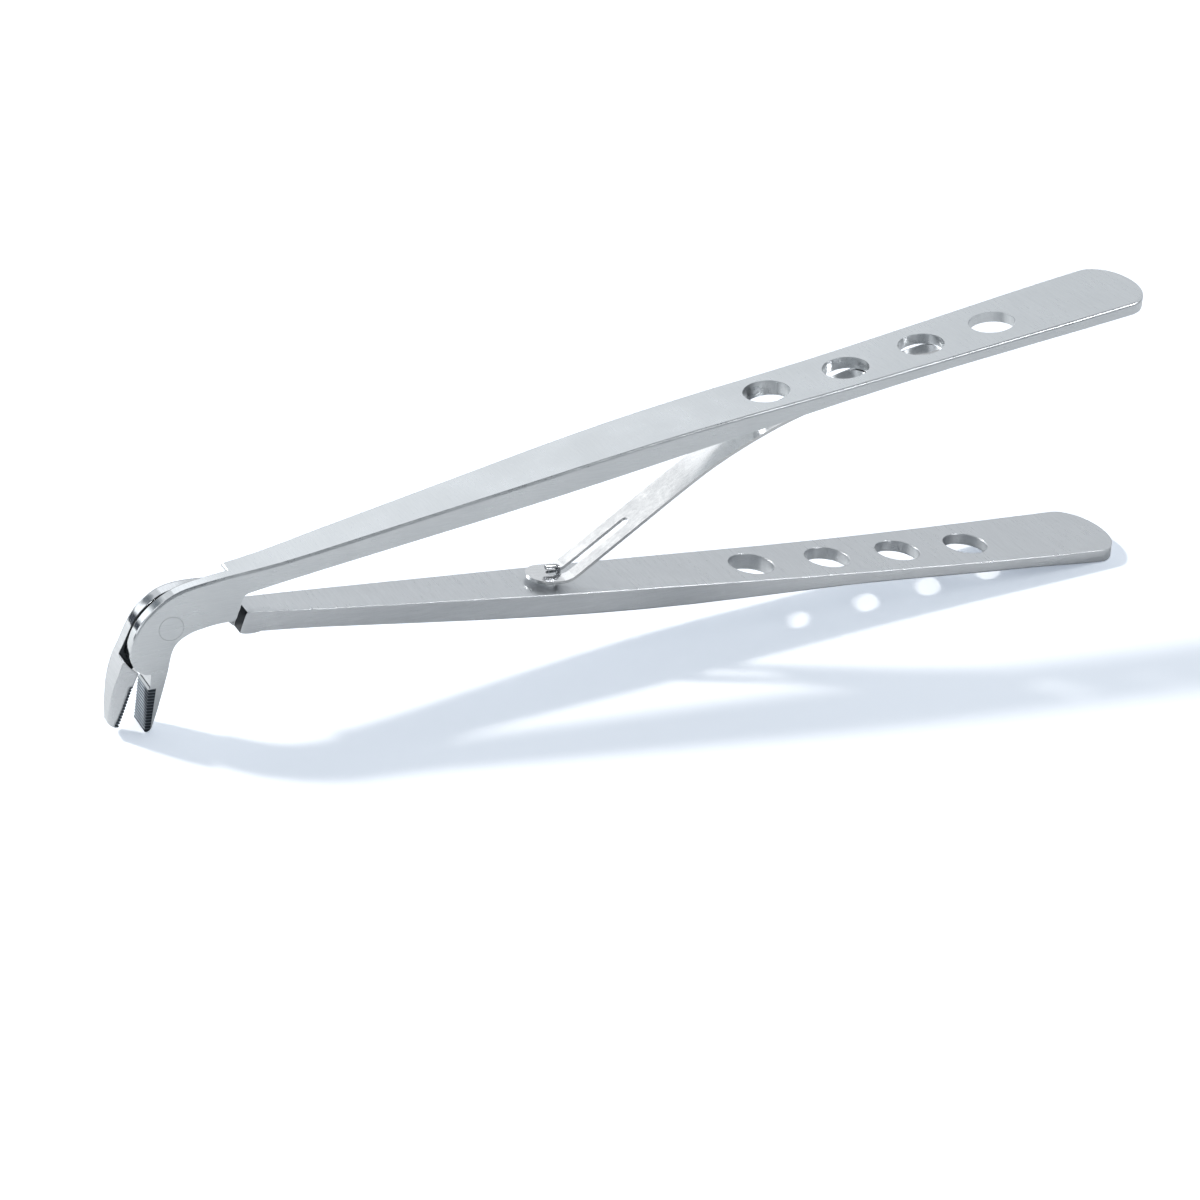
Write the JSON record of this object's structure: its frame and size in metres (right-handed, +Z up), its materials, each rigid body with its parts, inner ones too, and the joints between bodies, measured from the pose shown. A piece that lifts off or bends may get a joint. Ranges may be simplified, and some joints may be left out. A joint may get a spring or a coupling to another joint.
{
  "type": "crimping pliers",
  "caption": "Slim all-steel spring crimping pliers with crossed arms, perforated flat handles, bent serrated jaws and a hooked leaf spring.",
  "frame": {"origin": "bottom centre of the tool's bounding box at rest: the middle of its length and width, on the surface it rests on", "axes": "+X towards the handles, +Y along the pivot pin away from the upper arm's half of the lap, +Z up, with the tool resting on the inner jaw's tip and the lower handle's end"},
  "size_m": [0.1402, 0.0126, 0.0377],
  "materials": {
    "satin_steel": "satin brushed stainless steel, polished at the bend",
    "dark_carbide": "dark sintered carbide, cross serrated",
    "spring_steel": "bright rolled spring steel",
    "polished_wire": "polished wire"
  },
  "bodies": {
    "lower_arm": {"lower_arm": "satin_steel", "outer_jaw_insert": "dark_carbide", "pivot_pin": "satin_steel", "hook_stud": "polished_wire"},
    "upper_arm": {"upper_arm": "satin_steel", "inner_jaw_insert": "dark_carbide", "spring_root": "spring_steel"},
    "spring_leaf": {"spring_leaf": "spring_steel"},
    "spring_tip": {"spring_tip": "spring_steel"}
  },
  "joints": [
    {"name": "arm_pivot", "type": "hinge", "parent": "lower_arm", "child": "upper_arm", "pos_m": [-0.06236, 0, 0.01326], "axis": [0, 1, 0], "range_deg": [0, 13.3]},
    {"name": "spring_root_flex", "type": "hinge", "parent": "upper_arm", "child": "spring_leaf", "pos_m": [0.01605, 0, 0.02778], "axis": [0, 1, 0], "range_deg": [0, 22]},
    {"name": "spring_tip_flex", "type": "hinge", "parent": "spring_leaf", "child": "spring_tip", "pos_m": [-0.011, 0, 0.00995], "axis": [0, 1, 0], "range_deg": [-35.3, 0]}
  ],
  "couplings": [
    {"joint": "spring_root_flex", "follows": "arm_pivot", "ratio": 1.6426},
    {"joint": "spring_tip_flex", "follows": "arm_pivot", "ratio": -2.6426}
  ]
}
